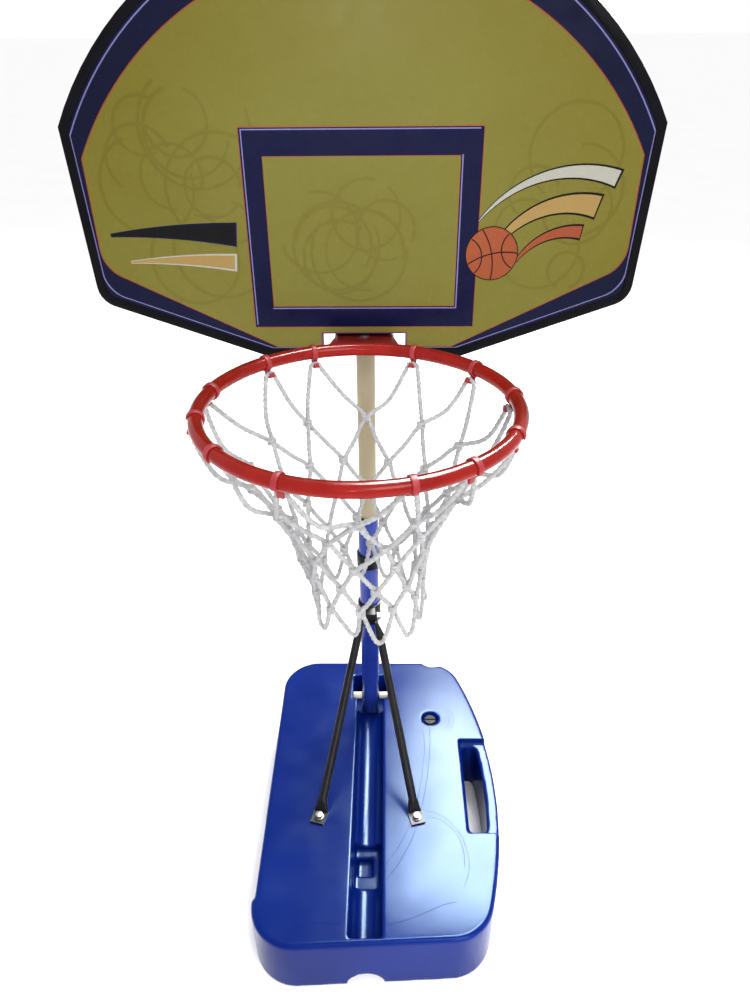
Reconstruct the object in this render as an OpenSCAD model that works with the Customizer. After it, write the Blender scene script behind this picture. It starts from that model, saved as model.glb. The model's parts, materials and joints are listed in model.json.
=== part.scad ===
// Portable basketball hoop on a hollow, fillable case base.
// Millimetres. Origin on the floor under the middle of the base; +X right, +Y back, +Z up.

/* [Overall] */
// Height of the rim's centreline above the floor, at the lowest setting
rim_z = 965; // [850:5:1250]
// Distance from the rim's centre back to the backboard's front
rim_reach = 270; // [235:5:330]
// Distance from the backboard's front back to the pole's axis
board_to_pole = 60; // [56:1:75]
// Distance from the base's middle back to the pole's axis
pole_y = 230; // [190:1:245]
// How far the head can be raised above its lowest setting
lift_travel = 300; // [100:10:320]

/* [Base] */
// Length of the base, front to back
base_len = 640; // [540:5:780]
// Height of the base
base_h = 125; // [108:1:150]
// Distance from the groove's middle to the straight left side
base_left = 193; // [160:1:230]
// Distance from the groove's middle to the widest point of the right side
base_right = 246; // [245:1:295]
// Radius of the bowed right side
base_bow_r = 845; // [700:5:1100]
// Radius of the base's corners in plan
base_corner_r = 76; // [60:1:90]
// Rounding of the base's top edge
base_edge_r = 34; // [20:1:40]
// Wall of the blow-moulded tank
tank_wall = 4; // [3:0.5:6]
// How far back the right end of the front edge lies
front_skew = 14; // [0:1:20]
// Width of the storage groove
groove_w = 56; // [50:1:68]
// Depth of the storage groove
groove_depth = 53; // [46:1:64]
// Distance from the base's front to the groove's front end
groove_front = 18; // [12:1:30]
// Half width of the wider pocket round the pole's foot
pocket_half = 38; // [34:1:46]
// Length of the handle's hole
handle_len = 196; // [120:2:235]
// Width of the bar left outside the handle's hole
handle_bar = 22; // [18:1:27]
// Distance from the groove's middle to the handle hole's inner side
handle_x = 188; // [170:1:192]
// Radius of the arch under the front edge
arch_r = 31; // [20:1:37]

/* [Filler] */
// Place of the filler, to the right of the middle
filler_x = 127; // [105:1:150]
// Place of the filler, behind the middle
filler_y = 153; // [130:1:185]
// Diameter of the recess round the filler plug
filler_recess_d = 34; // [29:1:42]
// Diameter of the plug's head
plug_head_d = 23; // [19:1:27]
// Diameter of the filler's neck
neck_d = 16; // [12:1:18]

/* [Pole] */
// Outside diameter of the lower tube
lower_d = 38; // [36:1:46]
// Wall of the lower tube
lower_wall = 1.6; // [1.2:0.1:2]
// Height of the lower tube's top
lower_top = 585; // [500:1:730]
// Outside diameter of the upper tube
upper_d = 32; // [26:1:33]
// Wall of the upper tube
upper_wall = 1.5; // [1.2:0.1:2]
// Gap under the upper tube at the lowest setting, above the pole's shoe
upper_gap = 11; // [8:1:60]
// Diameter of the pivot rod through the pole's foot
rod_d = 10; // [8:0.5:12]
// Distance from the lower tube's top down to the lock collar's middle
collar_drop = 95; // [60:1:130]
// Height of the lock collar
collar_h = 30; // [24:1:36]
// Diameter of the lock screw
lock_d = 10; // [8:0.5:12]
// Diameter of the lock knob
knob_d = 38; // [32:1:46]

/* [Struts] */
// Diameter of the struts
strut_d = 16; // [13:0.5:20]
// Sideways distance of each strut's foot from the middle
strut_x = 90; // [75:1:108]
// Distance of the struts' feet in front of the middle
strut_y = 86; // [70:1:105]
// Height of the struts' top bolt
strut_top_z = 368; // [300:1:440]
// Diameter of the struts' bolts
bolt_d = 8; // [6:0.5:9.5]

/* [Backboard] */
// Height of the board's bottom edge below the rim's centreline
board_drop = 38; // [30:1:46]
// Radius of the board's curved top
board_arc_r = 466; // [452:1:480]
// Height of the curved top's centre above the rim's centreline
board_arc_up = 69; // [60:1:82]
// Height of the widest points above the rim's centreline
board_wide_up = 290; // [250:1:310]
// Height of the lower corners above the rim's centreline
board_corner_up = 51; // [42:1:60]
// Half width at the lower corners
board_corner_half = 400; // [385:1:405]
// Half width of the flat bottom edge
board_flat_half = 150; // [120:1:180]
// Thickness of the board
board_t = 20; // [17:1:24]
// Width of the black edge trim
trim_w = 13; // [11:1:16]
// Width of the notch that the rim's bracket passes through
notch_w = 128; // [110:1:150]

/* [Rim and net] */
// Radius of the rim, to the middle of its tube
rim_r = 200; // [170:1:230]
// Diameter of the rim's tube
rim_tube_d = 19; // [16:0.5:22]
// Width of a net clip along the rim
clip_w = 9; // [7.5:0.5:11]
// Length of the net below the rim's centreline
net_len = 322; // [280:2:420]
// Radius of the net's lower end
net_low_r = 78; // [68:1:96]

/* [Hidden] */
$fn = 64;

fit_gap = 0.05;      // radial gap of a turning or sliding fit
slip_gap = 0.3;      // gap between neighbours that only lie close
cut_over = 1;        // how far a cutter runs past a face

base_half = base_len / 2;
groove_floor = base_h - groove_depth;
board_front = pole_y - board_to_pole;
board_back = board_front + board_t;
rim_y = board_front - rim_reach;
lower_r = lower_d / 2;
lower_in = lower_r - lower_wall;
upper_r = upper_d / 2;
rod_z = base_h - 13;
shoe_top = rod_z + 12;
upper_bottom = shoe_top + upper_gap;
collar_z = lower_top - collar_drop;
rod_half = pocket_half + 12;
pocket_y0 = pole_y - lower_r - 3;
pocket_y1 = pole_y + lower_r + 28;
bow_x = base_right - base_bow_r;
bow_y = -20;
handle_y = -8;
handle_drop = 14;    // how far the handle's bar lies below the top face
foot_t = 4;          // thickness of the struts' flattened ends
foot_w = 26;
washer_t = 1.6;
washer_d = bolt_d * 2.1;
head_h = bolt_d * 0.66;
lug_half = 12;       // half width of the clamp's lug
lug_y = pole_y - lower_r - 13;
insert_depth = 20;
insert_r = bolt_d / 2 + 2.2;
filler_drop = 12;    // depth of the recess round the plug
seal_t = 1.5;
plug_head_t = 7;
collar_r = lower_r + 4;
boss_r = lock_d / 2 + 8;
boss_end = lower_r + 18;
pad_t = 4;
bracket_t = 2.5;     // steel of the board's bracket
bracket_half = 45;
bracket_top = rim_z + 215;
upper_top = bracket_top + 14;
shelf_top = rim_z - 10;      // top of the bracket's shelf, under the rim's plate
rim_plate_t = 3;
notch_top = rim_z - 1;
corner_round = 32;   // rounding of the board's lower corners
trim_lip = 2;        // how far the trim stands in front of the printed face
face_t = 0.5;
trim_side = 3;
rim_bolt_y = board_front + board_t / 2;
// The net clips' places round the ring, in degrees from the backboard's side.
// They slide along the tube, so they stand unevenly; none may stand over the rim's plate.
clip_angles = [22, 52, 81, 113, 140, 162, 203, 232, 260, 284, 317, 339];
clip_t = 2.6;
clip_r = rim_tube_d / 2 + 0.15;
hook_low = rim_tube_d / 2 + 14.5;
net_t = 3;
net_top = hook_low + slip_gap;

// Points of an arc round c, n steps from angle a0 to a1
function arc(c, r, a0, a1, n) =
    [for (i = [0:n]) let (a = a0 + (a1 - a0) * i / n) c + r * [cos(a), sin(a)]];
function unit(v) = v / norm(v);
function cross2(a, b) = a.x * b.y - a.y * b.x;
// Where two lines, each given by a point and a direction, meet
function meet(p, u, q, v) = p + u * cross2(q - p, v) / cross2(u, v);
// The arc of radius r that rounds the corner b between a and c of an anticlockwise outline
function fillet(a, b, c, r, n) =
    let (u = unit(b - a), v = unit(c - b), nu = [-u.y, u.x], nv = [-v.y, v.x],
         m = meet(a + nu * r, u, b + nv * r, v), a0 = atan2(-nu.y, -nu.x),
         turn = acos(u * v))
    arc(m, r, a0, a0 + turn, n);
// A convex anticlockwise outline moved inwards by d
function inset(pts, d) = d == 0 ? pts :
    [for (i = [0:len(pts) - 1])
        let (a = pts[(i + len(pts) - 1) % len(pts)], b = pts[i], c = pts[(i + 1) % len(pts)],
             u = unit(b - a), v = unit(c - b), p = b + [-u.y, u.x] * d, q = b + [-v.y, v.x] * d)
        abs(cross2(u, v)) < 1e-6 ? p : meet(p, u, q, v)];

// ---- outlines ----
corner_in = base_half - base_corner_r;
bow_in = base_bow_r - base_corner_r;
skew_a = atan(front_skew / (base_left + base_right - 2 * base_corner_r));
front_right_y = -corner_in + front_skew;
rear_a = asin((corner_in - bow_y) / bow_in);
front_a = asin((front_right_y - bow_y) / bow_in);
base_pts = concat(
    arc([base_corner_r - base_left, -corner_in], base_corner_r, 180, 270 + skew_a, 7),
    arc([bow_x + bow_in * cos(front_a), front_right_y], base_corner_r, skew_a - 90, front_a, 6),
    arc([bow_x, bow_y], base_bow_r, front_a + 4, rear_a - 4, 7),
    arc([bow_x + bow_in * cos(rear_a), corner_in], base_corner_r, rear_a, 90, 8),
    arc([base_corner_r - base_left, corner_in], base_corner_r, 90, 173, 6));

arc_c = [0, rim_z + board_arc_up];
wide_a = asin((board_wide_up - board_arc_up) / board_arc_r);
wide_half = board_arc_r * cos(wide_a);
board_low = rim_z - board_drop;
corner_right = [board_corner_half, rim_z + board_corner_up];
corner_left = [-board_corner_half, rim_z + board_corner_up];
wide_right = [wide_half, rim_z + board_wide_up];
wide_left = [-wide_half, rim_z + board_wide_up];
flat_right = [board_flat_half, board_low];
flat_left = [-board_flat_half, board_low];
board_pts = concat(
    [flat_left, flat_right],
    fillet(flat_right, corner_right, wide_right, corner_round, 5),
    arc(arc_c, board_arc_r, wide_a, 180 - wide_a, 36),
    fillet(wide_left, corner_left, flat_left, corner_round, 5));

// ---- helpers ----
// A bar of radius r between two points
module bar(p, q, r) {
    d = q - p;
    translate(p) rotate([0, acos(d.z / norm(d)), atan2(d.y, d.x)]) cylinder(h = norm(d), r = r);
}
module tube(z0, z1, ro, ri) {
    translate([0, pole_y, z0]) difference() {
        cylinder(h = z1 - z0, r = ro);
        translate([0, 0, -cut_over]) cylinder(h = z1 - z0 + 2 * cut_over, r = ri);
    }
}
// A cylinder along X or Y from a to b on that axis
module along_x(a, b, r, y, z) translate([a, y, z]) rotate([0, 90, 0]) cylinder(h = b - a, r = r);
module along_y(a, b, r, x, z) translate([x, a, z]) rotate([-90, 0, 0]) cylinder(h = b - a, r = r);
module hex_x(a, b, r, y, z)
    translate([a, y, z]) rotate([0, 90, 0]) cylinder(h = b - a, r = r, $fn = 6);
// The board's outline, moved in by d, from y0 to y1
module board_slab(d, y0, y1)
    translate([0, y1, 0]) rotate([90, 0, 0]) linear_extrude(y1 - y0) polygon(inset(board_pts, d));
module notch(grow, y0, y1)
    translate([-notch_w / 2 - grow, y0, board_low - 20])
        cube([notch_w + 2 * grow, y1 - y0, notch_top + grow - board_low + 20]);
module place_left_right() for (s = [-1, 1]) translate([s * strut_x, -strut_y, 0]) children();

// ---- base ----
// A solid through outlines of the base, each given by its height and how far it is moved in
module loft(levels) {
    n = len(base_pts);
    last = n * (len(levels) - 1);
    points = [for (l = levels) for (p = inset(base_pts, l[1])) [p.x, p.y, l[0]]];
    sides = [for (k = [0:len(levels) - 2]) for (i = [0:n - 1])
        [i, i + n, (i + 1) % n + n, (i + 1) % n] + k * n * [1, 1, 1, 1]];
    polyhedron(points, concat([[for (i = [0:n - 1]) i]], [[for (i = [n - 1:-1:0]) last + i]], sides));
}
// The tank's outer shape, or, moved in by d, the space inside its wall
module tank_body(d) {
    r = base_edge_r - d;
    loft(concat([[d, d + 5], [d + 6, d]],
        [for (a = [0:18:90]) [base_h - base_edge_r + r * sin(a), base_edge_r - r * cos(a)]]));
}
module groove(grow) {
    y0 = groove_front - base_half - grow;
    half = groove_w / 2 + grow;
    top = base_h + cut_over + grow;
    round_z = groove_floor + groove_w / 2;
    translate([-half, y0, round_z]) cube([2 * half, pocket_y0 - y0, top - round_z]);
    along_y(y0, pocket_y0 + cut_over, half, 0, round_z);
    translate([-pocket_half - grow, pocket_y0 - grow, groove_floor - grow])
        cube([2 * (pocket_half + grow), pocket_y1 - pocket_y0 + 2 * grow, top - groove_floor + grow]);
}
// The square-stepped pocket in the groove's floor, in two levels
module floor_steps(grow) {
    translate([-24 - grow, -190 - grow, groove_floor - 10 - grow])
        cube([48 + 2 * grow, 80 + 2 * grow, 40]);
    translate([-20 - grow, -160 - grow, groove_floor - 24 - grow])
        cube([30 + 2 * grow, 34 + 2 * grow, 40]);
}
module handle_hole(grow) {
    z0 = -cut_over - grow;
    h = base_h + 2 * (cut_over + grow);
    intersection() {
        translate([handle_x - grow, handle_y - handle_len / 2 - grow, z0])
            cube([base_right - handle_x, handle_len + 2 * grow, h]);
        translate([bow_x, bow_y, z0]) cylinder(h = h, r = base_bow_r - handle_bar + grow, $fn = 200);
    }
}
module handle_recess(grow) {
    z0 = base_h - handle_drop - grow;
    translate([handle_x - 6 - grow, handle_y - handle_len / 2 - 8 - grow, z0])
        cube([base_right, handle_len + 16 + 2 * grow, handle_drop + 2 * grow + cut_over]);
}
module front_arch(grow) along_y(-base_half - cut_over, 70 - base_half + grow, arch_r + grow, 0, 0);
module rear_scoop(grow)
    translate([140, base_half + 12, -cut_over - grow]) cylinder(h = base_h + 40, r = 27 + grow);

module base_tank() {
    recess_floor = base_h - filler_drop;
    color([0.10, 0.20, 0.66]) {
        difference() {
            tank_body(0);
            groove(0);
            floor_steps(0);
            handle_hole(0);
            handle_recess(0);
            front_arch(0);
            rear_scoop(0);
            along_x(-rod_half - fit_gap, rod_half + fit_gap, rod_d / 2 + fit_gap, pole_y, rod_z);
            translate([filler_x, filler_y, recess_floor])
                cylinder(h = filler_drop + cut_over, d = filler_recess_d);
            translate([filler_x, filler_y, recess_floor - tank_wall - cut_over])
                cylinder(h = filler_drop, d = neck_d);
            place_left_right() translate([0, 0, base_h - insert_depth])
                cylinder(h = insert_depth + cut_over, r = insert_r);
            difference() {
                tank_body(tank_wall);
                groove(tank_wall);
                floor_steps(tank_wall);
                handle_hole(tank_wall);
                handle_recess(tank_wall);
                front_arch(tank_wall);
                rear_scoop(tank_wall);
                translate([-rod_half - tank_wall, pocket_y0 - tank_wall, -cut_over])
                    cube([2 * (rod_half + tank_wall), pocket_y1 - pocket_y0 + 2 * tank_wall, base_h]);
                translate([filler_x, filler_y, recess_floor - tank_wall])
                    cylinder(h = base_h, d = filler_recess_d + 2 * tank_wall);
                place_left_right() translate([0, 0, base_h - insert_depth - tank_wall])
                    cylinder(h = base_h, r = insert_r + tank_wall);
            }
        }
        // snap tabs that hold the folded pole in the groove
        for (s = [-1, 1])
            translate([s * (groove_w / 2 - 1) - 3, -222, base_h - 22]) cube([6, 18, 12]);
    }
}
module filler_plug() color([0.05, 0.05, 0.06]) translate([filler_x, filler_y, 0]) {
    seat = base_h - filler_drop + seal_t;
    difference() {
        translate([0, 0, seat]) cylinder(h = plug_head_t, d = plug_head_d);
        translate([-plug_head_d, -1.5, seat + plug_head_t - 3]) cube([2 * plug_head_d, 3, 4]);
    }
    translate([0, 0, seat - 14]) cylinder(h = 14, d = neck_d - 2 * slip_gap);
}
module filler_seal() color([0.12, 0.12, 0.12])
    translate([filler_x, filler_y, base_h - filler_drop]) difference() {
        cylinder(h = seal_t, d = plug_head_d);
        translate([0, 0, -cut_over]) cylinder(h = seal_t + 2 * cut_over, d = neck_d);
    }
module side_bumper() color([0.04, 0.04, 0.05])
    translate([-base_left, 205, 58]) rotate([0, -90, 0]) cylinder(h = 4, d = 22);

// ---- pole ----
module pole_lower() color([0.12, 0.22, 0.70]) difference() {
    tube(groove_floor + 4, lower_top, lower_r, lower_in);
    along_x(-lower_d, lower_d, rod_d / 2 + fit_gap, pole_y, rod_z);
    along_y(pole_y + upper_r, pole_y + lower_d, lock_d / 2 + slip_gap, 0, collar_z);
}
module pole_shoe() color([0.05, 0.05, 0.06]) difference() {
    translate([0, pole_y, groove_floor]) {
        cylinder(h = 4, r = lower_r);
        cylinder(h = shoe_top - groove_floor, r = lower_in);
    }
    along_x(-lower_d, lower_d, rod_d / 2 + fit_gap, pole_y, rod_z);
}
module pivot_rod() color([0.72, 0.73, 0.75]) along_x(-rod_half, rod_half, rod_d / 2, pole_y, rod_z);
module pivot_spacers() color([0.90, 0.89, 0.84]) for (s = [-1, 1]) difference() {
    reach = pocket_half - lower_r - 0.2;
    middle = s * (pocket_half + lower_r) / 2;
    along_x(middle - reach / 2, middle + reach / 2, rod_d / 2 + 2.5, pole_y, rod_z);
    along_x(middle - reach, middle + reach, rod_d / 2 + fit_gap, pole_y, rod_z);
}
module pole_mouth() color([0.05, 0.05, 0.06]) {
    tube(lower_top - 38, lower_top, lower_in, upper_r + fit_gap);
    tube(lower_top, lower_top + 5, lower_r + 2, upper_r + fit_gap);
}
module lock_collar() color([0.05, 0.05, 0.06]) difference() {
    union() {
        translate([0, pole_y, collar_z - collar_h / 2]) cylinder(h = collar_h, r = collar_r);
        along_y(pole_y + lower_r - 6, pole_y + boss_end, boss_r, 0, collar_z);
    }
    translate([0, pole_y, collar_z - collar_h]) cylinder(h = 2 * collar_h, r = lower_r + fit_gap);
    along_y(pole_y + upper_r / 2, pole_y + boss_end + cut_over, lock_d / 2 + slip_gap, 0, collar_z);
    translate([0, pole_y + boss_end - 8, collar_z]) rotate([-90, 0, 0])
        cylinder(h = 8 + cut_over, r = lock_d / 2 + 4.5, $fn = 6);
}
module lock_nut() color([0.70, 0.71, 0.73])
    translate([0, pole_y + boss_end - 8, collar_z]) rotate([-90, 0, 0]) difference() {
        cylinder(h = 8, r = lock_d / 2 + 4.5, $fn = 6);
        translate([0, 0, -cut_over]) cylinder(h = 10, r = lock_d / 2 + fit_gap);
    }
module lock_screw() color([0.75, 0.76, 0.78])
    along_y(pole_y + upper_r + slip_gap + pad_t, pole_y + boss_end + 8, lock_d / 2, 0, collar_z);
module lock_knob() color([0.04, 0.04, 0.05])
    translate([0, pole_y + boss_end + 8, collar_z]) rotate([-90, 0, 0]) {
        cylinder(h = 16, d = knob_d - 8);
        for (k = [0:5]) rotate([0, 0, 60 * k]) translate([knob_d / 2 - 6, 0, 0]) cylinder(h = 16, r = 6);
    }
module lock_pad() color([0.92, 0.91, 0.86])
    along_y(pole_y + upper_r + slip_gap, pole_y + upper_r + slip_gap + pad_t, lock_d / 2 - 0.5, 0,
            collar_z);

// ---- struts ----
module strut_clamp() color([0.05, 0.05, 0.06]) difference() {
    union() {
        translate([0, pole_y, strut_top_z - 15]) cylinder(h = 30, r = lower_r + 4);
        translate([-lug_half, lug_y - 11, strut_top_z - 13])
            cube([2 * lug_half, pole_y - lug_y + 11 - lower_r / 2, 26]);
    }
    translate([0, pole_y, strut_top_z - 20]) cylinder(h = 40, r = lower_r + fit_gap);
    along_x(-lug_half - cut_over, lug_half + cut_over, bolt_d / 2 + fit_gap, lug_y, strut_top_z);
}
// s is -1 for the left strut and +1 for the right one
module strut(s) {
    eye = [s * (lug_half + foot_t / 2), lug_y, strut_top_z];
    heel = [s * strut_x, -strut_y, base_h + foot_t / 2];
    dir = unit(eye - heel);
    plan = atan2(dir.y, dir.x);
    neck = eye - 16 * unit([0, dir.y, dir.z]);
    low = heel + 30 * dir;
    high = eye - 38 * dir;
    flare = strut_d / 2 + 0.7;
    thin = foot_t - 0.6;
    color([0.05, 0.05, 0.06]) difference() {
        union() {
            translate([heel.x, heel.y, base_h]) rotate([0, 0, plan])
                translate([-14, -foot_w / 2, 0]) cube([28, foot_w, foot_t]);
            hull() {
                translate([heel.x, heel.y, base_h + 0.3]) rotate([0, 0, plan])
                    translate([10, 0.4 - foot_w / 2, 0]) cube([2, foot_w - 0.8, thin]);
                bar(low, low + 2 * dir, flare, $fn = 32);
            }
            bar(low - 2 * dir, high + 2 * dir, strut_d / 2);
            hull() {
                bar(high, high - 2 * dir, flare, $fn = 32);
                along_x(eye.x - thin / 2, eye.x + thin / 2, 7.6, neck.y, neck.z, $fn = 32);
            }
            along_x(eye.x - foot_t / 2, eye.x + foot_t / 2, 11, eye.y, eye.z);
            along_x(eye.x - foot_t / 2, eye.x + foot_t / 2, 8.4, (eye.y + neck.y) / 2,
                    (eye.z + neck.z) / 2);
            along_x(eye.x - foot_t / 2, eye.x + foot_t / 2, 8, neck.y, neck.z);
        }
        along_x(eye.x - 20, eye.x + 20, bolt_d / 2 + fit_gap, eye.y, eye.z);
        translate([heel.x, heel.y, base_h - cut_over]) cylinder(h = 10, r = bolt_d / 2 + fit_gap);
    }
}
module strut_left() strut(-1);
module strut_right() strut(1);
stack = lug_half + foot_t;
module strut_bolt() color([0.75, 0.76, 0.78]) {
    along_x(-stack - washer_t, stack + washer_t + head_h + 2, bolt_d / 2, lug_y, strut_top_z);
    hex_x(-stack - washer_t - head_h, -stack - washer_t, bolt_d * 0.93, lug_y, strut_top_z);
}
module strut_bolt_nut() color([0.72, 0.73, 0.75]) difference() {
    hex_x(stack + washer_t, stack + washer_t + head_h, bolt_d * 0.93, lug_y, strut_top_z);
    along_x(0, 3 * stack, bolt_d / 2 + fit_gap, lug_y, strut_top_z);
}
module strut_washers() color([0.78, 0.79, 0.80]) for (x = [-stack - washer_t, stack]) difference() {
    along_x(x, x + washer_t, washer_d / 2, lug_y, strut_top_z);
    along_x(x - cut_over, x + washer_t + cut_over, bolt_d / 2 + fit_gap, lug_y, strut_top_z);
}
module foot_bolts() color([0.80, 0.81, 0.82]) place_left_right() {
    top = base_h + foot_t + washer_t;
    translate([0, 0, base_h - insert_depth + 2]) cylinder(h = top - base_h + insert_depth - 2, d = bolt_d);
    translate([0, 0, top]) cylinder(h = head_h, r = bolt_d * 0.93, $fn = 6);
}
module foot_washers() color([0.78, 0.79, 0.80]) place_left_right()
    translate([0, 0, base_h + foot_t]) difference() {
        cylinder(h = washer_t, d = washer_d);
        translate([0, 0, -cut_over]) cylinder(h = 5, r = bolt_d / 2 + fit_gap);
    }
module foot_inserts() color([0.72, 0.58, 0.30]) place_left_right()
    translate([0, 0, base_h - insert_depth]) difference() {
        cylinder(h = insert_depth, r = insert_r);
        translate([0, 0, 1]) cylinder(h = insert_depth, r = bolt_d / 2 + fit_gap);
    }

// ---- head ----
bolt_zs = [rim_z + 60, rim_z + 175];
flange_in = upper_r + 0.2;
module pole_upper() color([0.90, 0.88, 0.80]) difference() {
    tube(upper_bottom, upper_top, upper_r, upper_r - upper_wall);
    for (z = bolt_zs) along_x(-upper_d, upper_d, bolt_d / 2 + fit_gap, pole_y, z);
}
module pole_glide() color([0.05, 0.05, 0.06]) {
    tube(upper_bottom, upper_bottom + 22, lower_in - 0.2, upper_r);
    translate([0, pole_y, upper_bottom - 4]) cylinder(h = 4, r = lower_in - 0.2);
}
module pole_cap() color([0.05, 0.05, 0.06]) translate([0, pole_y, 0]) {
    translate([0, 0, upper_top]) cylinder(h = 4, r = upper_r + 0.8);
    translate([0, 0, upper_top - 14]) cylinder(h = 14, r = upper_r - upper_wall);
}
screw_spots = [for (x = [-34, 34], z = [rim_z + 30, bracket_top - 20]) [x, z]];
module board_panel() color([0.16, 0.17, 0.30]) difference() {
    plate_back = board_front + 4;
    union() {
        board_slab(trim_side, board_front, plate_back);
        difference() {
            board_slab(trim_side, board_front, board_back);
            board_slab(trim_side + 4, board_front, board_back + cut_over);
        }
        intersection() {
            board_slab(trim_side, board_front, board_back - 2);
            union() {
                for (x = [-330:60:330]) translate([x - 1.5, board_front, board_low])
                    cube([3, board_t, 2 * board_arc_r]);
                for (z = [board_low + 64:75:board_low + 560]) translate([-450, board_front, z])
                    cube([900, board_t, 3]);
                difference() {
                    notch(4, board_front, board_back);
                    notch(0, board_front, board_back + cut_over);
                }
            }
        }
        for (p = screw_spots) along_y(board_front, board_back, 8, p.x, p.y);
    }
    notch(0, board_front - 5, board_back + 5);
    for (p = screw_spots) along_y(board_back - 12, board_back + cut_over, 2.3, p.x, p.y);
}
module board_face() color([0.72, 0.70, 0.25]) difference() {
    board_slab(trim_w + 0.2, board_front - face_t, board_front);
    notch(0, board_front - 5, board_back);
}
module board_trim() color([0.05, 0.05, 0.06]) difference() {
    board_slab(0, board_front - trim_lip, board_back);
    board_slab(trim_w, board_front - trim_lip - cut_over, board_front);
    board_slab(trim_side, board_front, board_back + cut_over);
    notch(0, board_front - 5, board_back + 5);
}
module board_bracket() {
    web = board_back + bracket_t;
    color([0.05, 0.05, 0.06]) difference() {
        union() {
            translate([-bracket_half, board_back, shelf_top - bracket_t])
                cube([2 * bracket_half, bracket_t, bracket_top - shelf_top + bracket_t]);
            translate([-bracket_half, board_front + 1, shelf_top - bracket_t])
                cube([2 * bracket_half, board_t, bracket_t]);
            for (s = [-1, 1]) translate([s * (flange_in + bracket_t / 2) - bracket_t / 2, web, rim_z + 30])
                cube([bracket_t, pole_y + 16 - web, bracket_top - rim_z - 30]);
        }
        for (p = screw_spots) along_y(board_back - 5, web + 5, 2.7, p.x, p.y);
        for (z = bolt_zs) along_x(-upper_d, upper_d, bolt_d / 2 + fit_gap, pole_y, z);
        translate([0, rim_bolt_y, shelf_top - 10]) cylinder(h = 20, r = bolt_d / 2 + fit_gap);
    }
}
module board_screws() color([0.75, 0.76, 0.78]) for (p = screw_spots) {
    along_y(board_back - 10, board_back + bracket_t, 2.3, p.x, p.y);
    along_y(board_back + bracket_t, board_back + bracket_t + 2.5, 4.5, p.x, p.y);
}
grip = flange_in + bracket_t;
module bracket_bolts() color([0.75, 0.76, 0.78]) for (z = bolt_zs) {
    along_x(-grip, grip + head_h + 3, bolt_d / 2, pole_y, z);
    hex_x(-grip - head_h, -grip, bolt_d * 0.93, pole_y, z);
}
module bracket_nuts() color([0.72, 0.73, 0.75]) for (z = bolt_zs) difference() {
    hex_x(grip, grip + head_h, bolt_d * 0.93, pole_y, z);
    along_x(0, 3 * grip, bolt_d / 2 + fit_gap, pole_y, z);
}

// ---- rim and net ----
module rim_ring() color([0.80, 0.13, 0.07]) translate([0, rim_y, rim_z])
    rotate_extrude($fn = 128) translate([rim_r, 0]) circle(d = rim_tube_d, $fn = 32);
module rim_bracket() {
    plate_back = board_back - 1;
    front = rim_y + rim_r * 0.9;
    color([0.70, 0.10, 0.07]) difference() {
        translate([0, 0, shelf_top]) linear_extrude(rim_plate_t)
            polygon([[-62, front], [62, front], [62, rim_y + rim_r], [46, board_front],
                     [46, plate_back], [-46, plate_back], [-46, board_front], [-62, rim_y + rim_r]]);
        translate([0, rim_y, shelf_top - 10])
            cylinder(h = 40, r = rim_r + sqrt(pow(rim_tube_d / 2, 2) - 49) + 0.02, $fn = 180);
        translate([0, rim_bolt_y, shelf_top - 10]) cylinder(h = 20, r = bolt_d / 2 + fit_gap);
    }
}
module rim_bolt() color([0.85, 0.86, 0.86]) translate([0, rim_bolt_y, 0]) {
    top = shelf_top + rim_plate_t;
    translate([0, 0, shelf_top - bracket_t - 14]) cylinder(h = top - shelf_top + bracket_t + 14, d = bolt_d);
    intersection() {
        translate([0, 0, top]) cylinder(h = 6, d = bolt_d * 2.2);
        translate([0, 0, top - bolt_d * 1.35]) sphere(r = bolt_d * 1.8);
    }
}
module rim_nut() color([0.72, 0.73, 0.75]) translate([0, rim_bolt_y, shelf_top - bracket_t - head_h - 0.1])
    difference() {
        cylinder(h = head_h, r = bolt_d * 0.93, $fn = 6);
        translate([0, 0, -cut_over]) cylinder(h = 20, r = bolt_d / 2 + fit_gap);
    }
// One clip, drawn round a tube that runs along Y at the origin, with the rim's centre towards -X
module clip() difference() {
    union() {
        along_y(-clip_w / 2, clip_w / 2, clip_r + clip_t, 0, 0);
        translate([-1.5, -clip_w / 2, -hook_low]) cube([3.5, clip_w, hook_low - clip_r]);
        translate([-12, -clip_w / 2, -hook_low]) cube([13.5, clip_w, 3]);
        translate([-12, -clip_w / 2, -hook_low]) cube([2.6, clip_w, 7]);
    }
    along_y(-clip_w, clip_w, clip_r, 0, 0);
    rotate([0, -35, 0]) translate([0, -clip_w, -2.5]) cube([clip_r + 2 * clip_t, 2 * clip_w, 5]);
}
module net_clips() color([0.86, 0.28, 0.26]) translate([0, rim_y, rim_z])
    for (a = clip_angles) rotate([0, 0, 90 - a])
        translate([rim_r, 0, 0]) clip();
// The net's outer profile: radius and depth below the rim's centreline
net_high_r = rim_r - 4;
function net_r(share) = net_low_r + share * (net_high_r - net_low_r);
net_profile = [[net_high_r, net_top], [net_r(0.62), 0.265 * net_len], [net_r(0.33), 0.42 * net_len],
    [net_r(0.18), 0.555 * net_len], [net_r(0.08), 0.70 * net_len], [net_r(0.03), 0.835 * net_len],
    [net_low_r, net_len]];
module net() color([0.90, 0.90, 0.90]) translate([0, rim_y, rim_z]) rotate_extrude($fn = 96)
    polygon(concat([for (p = net_profile) [p.x, -p.y]],
        [for (i = [len(net_profile) - 1:-1:0]) [net_profile[i].x - net_t, -net_profile[i].y]]));

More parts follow.
